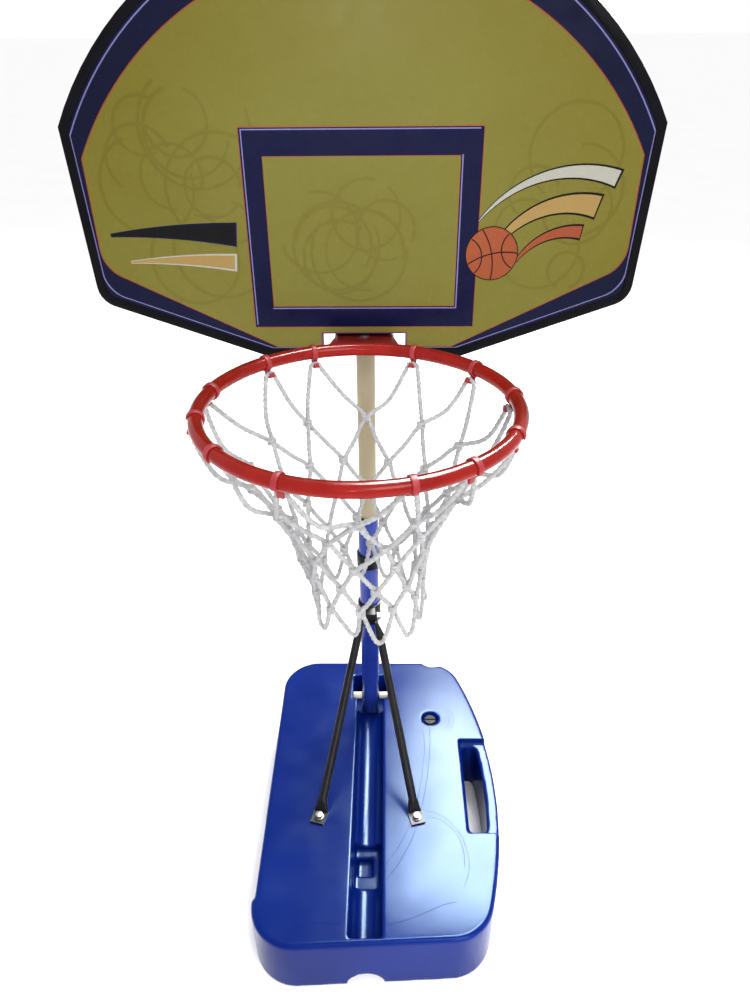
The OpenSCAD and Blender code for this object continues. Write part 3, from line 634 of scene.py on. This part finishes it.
def rectangle(x0, z0, x1, z1):
    bm = bmesh.new()
    first = bm.verts.new((x0, z0, 0))
    last = line_on(bm, line_on(bm, line_on(bm, first, (x1, z0, 0)), (x1, z1, 0)), (x0, z1, 0))
    bm.edges.new((last, first))
    return bm


def disc(centre, radius):
    bm = bmesh.new()
    bmesh.ops.create_circle(bm, cap_ends=False, radius=radius, segments=56,
                            matrix=Matrix.Translation((*centre, 0)))
    return bm


def band(centre, radius, start, end, width, taper=0.0, steps=20):
    """A curved stripe. A taper of 1 runs it out to a point at its end."""
    bm = bmesh.new()
    first = None
    for ring, run in ((1, range(steps + 1)), (-1, range(steps, -1, -1))):
        for k in run:
            angle = math.radians(start + (end - start) * k / steps)
            reach = radius + ring * width / 2 * (1 - taper * k / steps)
            point = (centre[0] + reach * math.cos(angle), centre[1] + reach * math.sin(angle), 0)
            last = line_on(bm, last, point) if first else bm.verts.new(point)
            first = first or last
    bm.edges.new((last, first))
    return bm


# %% [markdown]
# The graphics are plain ones: a ball with curved speed stripes on the right, two tapering stripes
# on the left, a target frame in the middle and faint loops in the yellow field.

# %% Layers of the print
NAVY, LILAC, CREAM, FIELD, BLACK, WHITE, ORANGE, LOOP = range(8)
BALL = (188, 119.5)
SWING = (300, 60)
SLOPE = (-274, -880)
TARGET_OUTER = (-166.5, 10.5, 166.5, 287.5)
TARGET_INNER = (-136, 43, 136, 251)


def near_ball(dx, dz):
    return (BALL[0] + dx, BALL[1] + dz)


def grown(edges, by):
    x0, z0, x1, z1 = edges
    return rectangle(x0 - by, z0 - by, x1 + by, z1 + by)


layers = [
    (fan(449.5, 69, 280, (388, 66), (143, -24.0), (65, 0)), LILAC, 0),
    (fan(447.6, 69, 279, (386, 67), (142, -23.0), (65.5, 0.5)), NAVY, 1),
    (fan(438.7, 44, 250.5, (385.9, 100), (135, -22.5), (66, 1)), ORANGE, 2),
    (fan(437.2, 44, 250, (384.5, 101), (134, -21.5), (67, 2)), FIELD, 3),
    (grown(TARGET_OUTER, 1.2), ORANGE, 4),
    (grown(TARGET_OUTER, 0), NAVY, 5),
    (grown(TARGET_INNER, 0.9), ORANGE, 6),
    (grown(TARGET_INNER, 0), FIELD, 7),
    (rectangle(-164.2, 14.0, -162.6, 286.0), LILAC, 6),
    (rectangle(-164.2, 284.4, 162.0, 286.0), LILAC, 7),
    (rectangle(138.6, 38.6, 140.4, 253.0), LILAC, 6),
    (rectangle(-138.0, 38.6, 140.4, 40.4), LILAC, 7),
    (band(SWING, 170, 70, 142, 27, 0.9), BLACK, 4),
    (band(SWING, 170, 71, 142, 21, 0.95), WHITE, 5),
    (band(SWING, 128, 74, 152, 36, 0.8), BLACK, 4),
    (band(SWING, 128, 75, 152, 29, 0.85), CREAM, 5),
    (band(SWING, 90, 80, 148, 23, 0.8), BLACK, 4),
    (band(SWING, 90, 81, 148, 17, 0.85), ORANGE, 5),
    (disc(BALL, 38.6), BLACK, 8),
    (disc(BALL, 37.2), ORANGE, 9),
    (band(near_ball(-90, -20), 92.2, -10.5, 35.5, 1.7), BLACK, 10),
    (band(near_ball(20, -90), 92.2, 79.5, 125.5, 1.7), BLACK, 11),
    (band(near_ball(44, 6), 30, 133, 242, 1.7), BLACK, 10),
    (band(near_ball(-44, -6), 30, -47, 62, 1.7), BLACK, 10),
    (band(SLOPE, 1032, 84.9, 95.1, 34, 0.85), NAVY, 4),
    (band(SLOPE, 1032, 85.1, 95.1, 28, 0.9), BLACK, 5),
    (band(SLOPE, 992, 84.9, 94.0, 26, 0.85), WHITE, 4),
    (band(SLOPE, 992, 85.1, 94.0, 20, 0.9), CREAM, 5),
]
print("plain layers", len(layers))

# %% [markdown]
# Faint loops lie just above the field, outside the target first and then inside it. Each has a
# height of its own, because two sheets at one height would flicker. A loop is kept only if it has
# room between the board's edges, or inside the target.

# %% Faint loops
rng = random.Random(5)
OUTER_LOOPS, INNER_LOOPS = 18, 8
LOOP_WIDE = 5.0
SMALLEST_LOOP = 20
FOOT_X, FOOT_Z, SIDE_X = 134, -21.5, 382
DOME_UP, DOME_R = 44, 430
FOOT = Vector((122.5, -250.5)).normalized()  # square to the board's slanting lower side
for k in range(OUTER_LOOPS + INNER_LOOPS):
    if k < OUTER_LOOPS:
        centre = Vector((rng.choice((-1, 1)) * rng.uniform(190, 330), rng.uniform(70, 300)))
        from_foot = -(abs(centre.x) - FOOT_X) * FOOT.x - (centre.y - FOOT_Z) * FOOT.y
        room = min(from_foot, SIDE_X - abs(centre.x),
                   DOME_R - (centre - Vector((0, DOME_UP))).length)
        height = 3.5 + 0.025 * k
    else:
        centre = Vector((rng.uniform(-90, 60), rng.uniform(110, 190)))
        room = min(TARGET_INNER[2] - abs(centre.x), centre.y - TARGET_INNER[1],
                   TARGET_INNER[3] - centre.y) - 2
        height = 7.5 + 0.05 * (k - OUTER_LOOPS)
    radius, turn = min(rng.uniform(34, 78), room - 6), rng.uniform(0, 360)
    if radius > SMALLEST_LOOP:
        end = turn + rng.uniform(190, 340)
        layers.append((band(centre, radius, turn, end, LOOP_WIDE, 0.3, 40), LOOP, height))
print("layers with loops", len(layers))

# %% Laying the layers on the board
print_bm = bmesh.new()
for outline, ink, layer in layers:
    fill_and_raise(outline, SHEET * 0.9)
    stand_up(outline, layer)
    first_face = len(print_bm.faces)
    join_into(print_bm, outline)
    print_bm.faces.ensure_lookup_table()
    for face in print_bm.faces[first_face:]:
        face.material_index = ink
printed_sheet = make_object("board_print", print_bm, INKS, degrees=20)
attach(printed_sheet, "hoop_head")
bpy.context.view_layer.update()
refined("board_face", 0, finish=ink_navy)

# %% [markdown]
# ## The ring
# The ring is one steel tube bent round and welded, so a small circle spun through a full turn makes
# it exactly. A weld bead joins it to its plate.

# %% Ring
bm = bmesh.new()
bmesh.ops.create_circle(bm, cap_ends=False, radius=RIM_TUBE, segments=28,
                        matrix=Matrix.Translation((RIM_R, 0, 0)) @ Matrix.Rotation(math.pi / 2, 4, "X"))
bmesh.ops.spin(bm, geom=bm.verts[:] + bm.edges[:], cent=(0, 0, 0), axis=(0, 0, 1),
               angle=2 * math.pi, steps=160, use_merge=True, use_duplicate=False)
bmesh.ops.translate(bm, verts=bm.verts[:], vec=RIM)
bmesh.ops.recalc_face_normals(bm, faces=bm.faces[:])
ring = settle(make_object("ring", bm, [rim_red], degrees=60), "rim_ring")

rng = random.Random(7)
bead = []
for k in range(61):
    angle = math.radians(72.5 + 35 * k / 60)
    reach = RIM_R + RIM_TUBE * 0.80 + rng.uniform(-0.25, 0.25) * MM
    bead.append((RIM.x + reach * math.cos(angle), RIM.y + reach * math.sin(angle),
                 RIM.z - 6.4 * MM + rng.uniform(-0.3, 0.3) * MM))
weld = make_object("rim_weld", wire("rim_weld", [bead], 1.9 * MM, sides=8), [plate_red], degrees=60)
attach(weld, "hoop_head")
print("ring faces", len(ring.data.polygons))

# %% [markdown]
# ## The net's clips
# Twelve soft plastic clips snap round the ring, and each has slid and turned a little. One clip is
# modelled round a tube at the origin: a strip is spun into a band that stays open at one side, and
# an L-shaped hook is set under it. It is then placed twelve times.

# %% One clip
CLIP_ANGLES = [22, 52, 81, 113, 140, 162, 203, 232, 260, 284, 317, 339]
CLIP_ROLL = [12, 20, 8, -8, 10, 30, 8, 24, -34, -42, 18, 10]
BAND = (RIM_TUBE + 0.1 * MM, RIM_TUBE + 2.2 * MM)
CLIP_HALF = 3.8 * MM


def clip_shape(roll):
    """A clip on a tube that runs along Y, with the ring's centre towards -X, turned by roll."""
    bm = bmesh.new()
    corners = [bm.verts.new((r, y, 0)) for r, y in (
        (BAND[0], -CLIP_HALF), (BAND[1], -CLIP_HALF), (BAND[1], CLIP_HALF), (BAND[0], CLIP_HALF))]
    start = bm.faces.new(corners)
    bmesh.ops.rotate(bm, verts=bm.verts[:], cent=(0, 0, 0), matrix=Matrix.Rotation(
        math.radians(62), 3, "Y"))
    bmesh.ops.spin(bm, geom=[start], cent=(0, 0, 0), axis=(0, 1, 0), angle=math.radians(322),
                   steps=28, use_duplicate=False)
    bmesh.ops.recalc_face_normals(bm, faces=bm.faces[:])
    hook_parts = (((-10.4, -21.2), (1.6, -18.4), 1.0), ((-1.4, -19.5), (1.6, -10.4), 1.0),
                  ((-10.4, -20.0), (-8.0, -14.4), 0.8))
    for low, high, taper in hook_parts:
        size = (high[0] - low[0], 9 * taper, high[1] - low[1])
        middle = ((low[0] + high[0]) / 2, 0, (low[1] + high[1]) / 2)
        place = Matrix.Translation(Vector(middle) * MM) @ Matrix.Diagonal((*size, 1))
        bmesh.ops.create_cube(bm, size=MM, matrix=place)
    sharp = [e for e in bm.edges if e.calc_face_angle(0) > math.radians(50)]
    bmesh.ops.bevel(bm, geom=sharp, offset=0.55 * MM, offset_type="OFFSET", segments=2,
                    profile=0.5, affect="EDGES", clamp_overlap=True, material=-1)
    bmesh.ops.rotate(bm, verts=bm.verts[:], cent=(0, 0, 0),
                     matrix=Matrix.Rotation(math.radians(roll), 3, "Y"))
    return bm


def place_on_ring(angle):
    """Where a clip stands: its angle is measured from the board's side towards +X."""
    turn = math.radians(90 - angle)
    return Matrix.Translation(RIM) @ Matrix.Rotation(turn, 4, "Z") @ Matrix.Translation((RIM_R, 0, 0))


# %% Twelve clips
clips_bm = bmesh.new()
hooks = []
for angle, roll in zip(CLIP_ANGLES, CLIP_ROLL):
    one = clip_shape(roll)
    bmesh.ops.transform(one, matrix=place_on_ring(angle), verts=one.verts[:])
    join_into(clips_bm, one)
    seat = Matrix.Rotation(math.radians(roll), 4, "Y") @ Vector((-4.7 * MM, 0, -15.5 * MM))
    hooks.append(place_on_ring(angle) @ seat)
settle(make_object("clips", clips_bm, [clip_red], degrees=40), "net_clips")

# %% [markdown]
# ## The net
# The net is a knotted cord net. Two cords leave every hook, cross their neighbours five times on
# the way down and turn back in a loop at the bottom. Its knots are placed row by row first, a
# little unevenly, and a smooth line is drawn through them. A three-lobed section that turns as it
# runs along the line gives the cord its twist, in shape and not only in colour.

# %% Knots of the net
rng = random.Random(21)
ROWS = [(148, 85), (114, 135), (98, 178), (87, 225), (81, 268), (78, 318)]
CORD_R = 3.7
COUNT = len(CLIP_ANGLES)
EVEN = 360 / COUNT
mean_shift = sum(a - EVEN * k for k, a in enumerate(CLIP_ANGLES)) / COUNT


def ring_angle(step):
    """The angle at a whole or half step round the ring, as the clips stand."""
    low = math.floor(step)
    turn = [CLIP_ANGLES[k % COUNT] + 360 * (k // COUNT) for k in (low, low + 1)]
    return turn[0] + (turn[1] - turn[0]) * (step - low)


def around(angle, radius, depth):
    """A point under the ring. The lower net hangs a little towards the handle's side."""
    swing = 9 * max(0, (depth - 85) / 235) ** 1.4
    turn = math.radians(angle)
    return Vector((RIM.x + (radius * math.sin(turn) + swing) * MM,
                   RIM.y + radius * math.cos(turn) * MM, RIM.z - depth * MM))


knots = []
for row, (radius, depth) in enumerate(ROWS, start=1):
    calm = min(1.0, 0.28 * row)
    made = {}
    for k in range(COUNT):
        step = k + 0.5 * (row % 2)
        angle = (1 - calm) * ring_angle(step) + calm * (mean_shift + EVEN * step)
        uneven = 1.0 if row < 6 else 1.6
        made[k] = (angle + rng.uniform(-2.2, 2.2) * uneven, radius + rng.uniform(-3, 3) * uneven,
                   depth + rng.uniform(-4, 4) * uneven)
    knots.append(made)
print("knots", sum(len(row) for row in knots[:5]))


def knot(row, half_steps):
    """The knot of a row at so many half steps round, with whole turns added to its angle."""
    step = (half_steps - (row % 2)) // 2
    angle, radius, depth = knots[row - 1][step % COUNT]
    return angle + 360 * (step // COUNT), radius, depth


# %% Smooth lines through the knots
def strand(start, way):
    """The points of a cord from its hook down to its loop. way is +1 or -1 round the ring."""
    hook = hooks[start]
    turn = math.radians(CLIP_ANGLES[start])
    along = Vector((math.cos(turn), -math.sin(turn), 0)) * way
    outward = Vector((math.sin(turn), math.cos(turn), 0))
    points = [hook, hook + along * 5.4 * MM + Vector((0, 0, -1.6 * MM)),
              hook + along * 8.5 * MM + Vector((0, 0, -9 * MM))]
    first = around(*knot(1, 2 * start + way))
    slack = rng.uniform(3, 7) if way > 0 else rng.uniform(9, 16)
    middle = points[-1].lerp(first, 0.5)
    middle += Vector((0, 0, -slack * MM)) + outward * (3 if way > 0 else 8) * MM
    points.append(middle)
    for row in range(1, 6):
        angle, radius, depth = knot(row, 2 * start + row * way)
        here = around(angle, radius + 2.5 * way, depth)
        points.append(here)
        if row < 5:
            after = around(*knot(row + 1, 2 * start + (row + 1) * way))
            points.append(here.lerp(after, 0.5) + Vector((0, 0, rng.uniform(-2.5, 0.5) * MM)))
    angle, radius, depth = knot(6, 2 * start + 6 * way)
    inward = around(angle - 6 * way, radius + 1, depth - 10)
    return points + [inward], around(angle, radius, depth)


net_lines = []
for start in range(COUNT):
    down, loop = strand(start, 1)
    up, _ = strand((start + 6) % COUNT, -1)
    net_lines.append(smooth_line(down + [loop] + up[::-1]))
cord_length = sum((Vector(b) - Vector(a)).length for line in net_lines
                  for a, b in zip(line, line[1:]))
print("cord in the net", round(cord_length, 2), "m")

# %% Twisted cord
LAY = 0.024  # metres of cord for one turn of its twist
SECTION_POINTS = 12
lobes = bpy.data.curves.new("cord_section", "CURVE")
lobes.dimensions = "2D"
section = lobes.splines.new("POLY")
section.points.add(SECTION_POINTS - 1)
for k, point in enumerate(section.points):
    turn = 2 * math.pi * k / SECTION_POINTS
    reach = CORD_R * (0.86 + 0.14 * math.cos(3 * turn)) * MM
    point.co = (reach * math.cos(turn), reach * math.sin(turn), 0, 1)
section.use_cyclic_u = True
section_object = bpy.data.objects.new("cord_section", lobes)
bpy.context.scene.collection.objects.link(section_object)
net_bm = wire("net_cord", net_lines, CORD_R * MM, tilt_per_metre=2 * math.pi / LAY,
              profile=section_object)
bpy.data.objects.remove(section_object)
print("cord vertices", len(net_bm.verts))

# %% Knots on the cord
WRAP_CORD_R = 2.3
WRAP_R = 4.3
WRAP_LIFT = 2.3


def knot_wrap(centre, angle, tilt):
    """One turn of cord round a crossing."""
    wrap = bmesh.new()
    place = Matrix.Translation((WRAP_R * MM, 0, 0)) @ Matrix.Rotation(math.pi / 2, 4, "X")
    bmesh.ops.create_circle(wrap, radius=WRAP_CORD_R * MM, segments=6, matrix=place)
    bmesh.ops.spin(wrap, geom=wrap.verts[:] + wrap.edges[:], cent=(0, 0, 0), axis=(0, 0, 1),
                   angle=2 * math.pi, steps=12, use_merge=True, use_duplicate=False)
    bmesh.ops.scale(wrap, verts=wrap.verts[:], vec=(1.15, 0.95, 1))
    place = Matrix.Translation(centre) @ Matrix.Rotation(math.radians(-angle), 4, "Z") @ tilt
    bmesh.ops.transform(wrap, verts=wrap.verts[:], matrix=place)
    bmesh.ops.recalc_face_normals(wrap, faces=wrap.faces[:])
    return wrap


for row in range(1, 6):
    for k in range(COUNT):
        angle, radius, depth = knots[row - 1][k]
        centre = around(angle, radius, depth)
        for lift in (-WRAP_LIFT, WRAP_LIFT):
            tilt = Matrix.Rotation(math.radians(rng.uniform(-16, 16)), 4, "X")
            join_into(net_bm, knot_wrap(centre + Vector((0, 0, lift * MM)), angle, tilt))
net = settle(make_object("net_cords", net_bm, [net_white], degrees=80), "net")
print("net triangles", sum(len(p.vertices) - 2 for p in net.data.polygons))

# %% [markdown]
# ## Floor and light
# A pale floor and broad soft lights show the object plainly. The main light stands behind and to
# the right. Beside it hangs a wide light that only shows in glossy surfaces: seen from the camera,
# the right half of the base's top mirrors it, so the blue plastic there turns pale while the left
# half stays deep. A weaker light fills the front, a narrow beam lifts the base's front wall, and a
# very small lamp stands in front of the printed board for a glint.

# %% Floor
bm = bmesh.new()
bmesh.ops.create_grid(bm, x_segments=1, y_segments=1, size=300)
floor_finish = finish_of("floor_pale", (0.95, 0.95, 0.95), (0.97, 0.97, 0.97), (0.85, 0.95),
                         mottle=2, specular=0.2)
floor = make_object("floor", bm, [floor_finish])


# %% Lights
def soft_light(name, place, aim, size, power, beam=180, sheen_only=False):
    """An area light. beam is its spread in degrees, and sheen_only leaves out matt surfaces."""
    data = bpy.data.lights.new(name, "AREA")
    data.shape, data.size, data.size_y = "RECTANGLE", size[0], size[1]
    data.energy, data.spread = power, math.radians(beam)
    lamp = bpy.data.objects.new(name, data)
    bpy.context.scene.collection.objects.link(lamp)
    lamp.visible_diffuse = not sheen_only
    lamp.location = place
    lamp.rotation_euler = (Vector(aim) - Vector(place)).to_track_quat("-Z", "Y").to_euler()


soft_light("light_main", (0.55, 1.95, 2.6), (0.15, 0.1, 0.1), (0.8, 1.9), 120)
soft_light("light_sheen", (0.62, 0.95, 2.6), (0.3, -0.8, 0.1), (1.10, 2.2), 900, sheen_only=True)
soft_light("light_front", (0.9, -2.4, 2.6), (0, 0.1, 0.9), (1.2, 1.2), 56)
soft_light("light_low", (0.45, -0.95, 0.35), (0.1, -0.33, 0.05), (0.4, 0.3), 0.7, beam=60)
soft_light("light_glint", (-0.05, -1.9, 1.47), (0, 0.17, 1.42), (0.12, 0.12), 2.5)
world = bpy.data.worlds.new("studio")
world.use_nodes = True
world.node_tree.nodes["Background"].inputs["Color"].default_value = (1, 1, 1, 1)
world.node_tree.nodes["Background"].inputs["Strength"].default_value = 1.0
bpy.context.scene.world = world
bpy.context.scene.view_settings.view_transform = "Standard"
bpy.context.scene.view_settings.look = "None"
